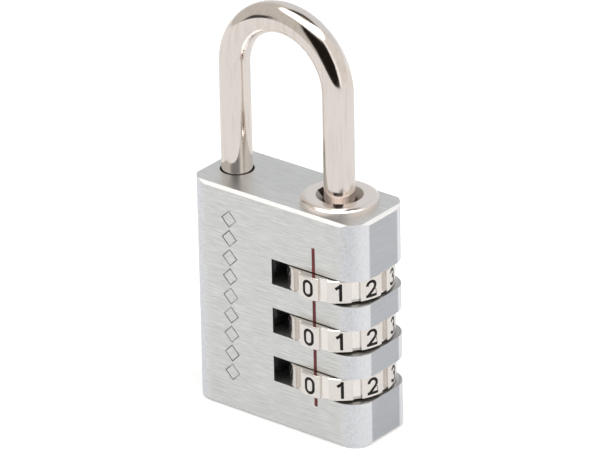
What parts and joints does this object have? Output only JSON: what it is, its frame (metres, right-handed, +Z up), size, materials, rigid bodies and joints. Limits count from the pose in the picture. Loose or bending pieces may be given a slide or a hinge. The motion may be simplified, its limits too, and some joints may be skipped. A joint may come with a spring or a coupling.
{
  "type": "combination padlock",
  "caption": "Small three-dial combination padlock: bevelled aluminium block, round steel shackle, flanged collar and numbered dials set in side slots.",
  "frame": {"origin": "middle of the flat bottom face of the body", "axes": "+X to the right along the width, towards the dials; -Y out of the front face with the index line; +Z up through the shackle"},
  "size_m": [0.0336, 0.0168, 0.0694],
  "materials": {
    "body": "satin brushed",
    "index_paint": "matte fill",
    "collar": "satin nickel",
    "shackle": "polished nickel",
    "dials": "satin nickel",
    "number_paint": "matte fill",
    "hubs": "turned",
    "spring_steel": "plain",
    "plain_steel": "plain",
    "plug": "turned"
  },
  "bodies": {
    "body": {"body": "body", "index_marks": "index_paint", "collar": "collar", "bottom_plug": "plug", "retaining_ring": "spring_steel", "hub_spring": "spring_steel", "detent_spring_1": "spring_steel", "detent_spring_2": "spring_steel", "detent_spring_3": "spring_steel"},
    "shackle": {"shackle": "shackle"},
    "dial_1": {"dial_1": "dials", "numbers_1": "number_paint"},
    "dial_2": {"dial_2": "dials", "numbers_2": "number_paint"},
    "dial_3": {"dial_3": "dials", "numbers_3": "number_paint"},
    "code_hub_1": {"code_hub_1": "hubs"},
    "code_hub_2": {"code_hub_2": "hubs"},
    "code_hub_3": {"code_hub_3": "hubs"},
    "pressure_washer": {"pressure_washer": "plain_steel"}
  },
  "joints": [
    {"name": "shackle_lift", "type": "slide", "parent": "body", "child": "shackle", "axis": [0, 0, 1], "range_m": [0, 0.0075]},
    {"name": "dial_1_turn", "type": "hinge", "parent": "body", "child": "dial_1", "pos_m": [0.0083, 0, 0.02682], "axis": [0, 0, 1], "continuous": true, "deforming": ["detent_spring_1"]},
    {"name": "dial_2_turn", "type": "hinge", "parent": "body", "child": "dial_2", "pos_m": [0.0083, 0, 0.01834], "axis": [0, 0, 1], "continuous": true, "deforming": ["detent_spring_2"]},
    {"name": "dial_3_turn", "type": "hinge", "parent": "body", "child": "dial_3", "pos_m": [0.0083, 0, 0.00986], "axis": [0, 0, 1], "continuous": true, "deforming": ["detent_spring_3"]},
    {"name": "code_push", "type": "slide", "parent": "dial_1", "child": "code_hub_1", "axis": [0, 0, 1], "range_m": [-0.001, 0], "stiffness_N_per_m": 600, "springref_m": 0.002, "deforming": ["hub_spring"]},
    {"name": "code_push_2", "type": "slide", "parent": "dial_2", "child": "code_hub_2", "axis": [0, 0, 1], "range_m": [-0.001, 0]},
    {"name": "code_push_3", "type": "slide", "parent": "dial_3", "child": "code_hub_3", "axis": [0, 0, 1], "range_m": [-0.001, 0]},
    {"name": "washer_push", "type": "slide", "parent": "body", "child": "pressure_washer", "axis": [0, 0, 1], "range_m": [-0.001, 0]}
  ],
  "couplings": [
    {"joint": "code_push_2", "follows": "code_push", "ratio": 1},
    {"joint": "code_push_3", "follows": "code_push", "ratio": 1},
    {"joint": "washer_push", "follows": "code_push", "ratio": 1}
  ]
}
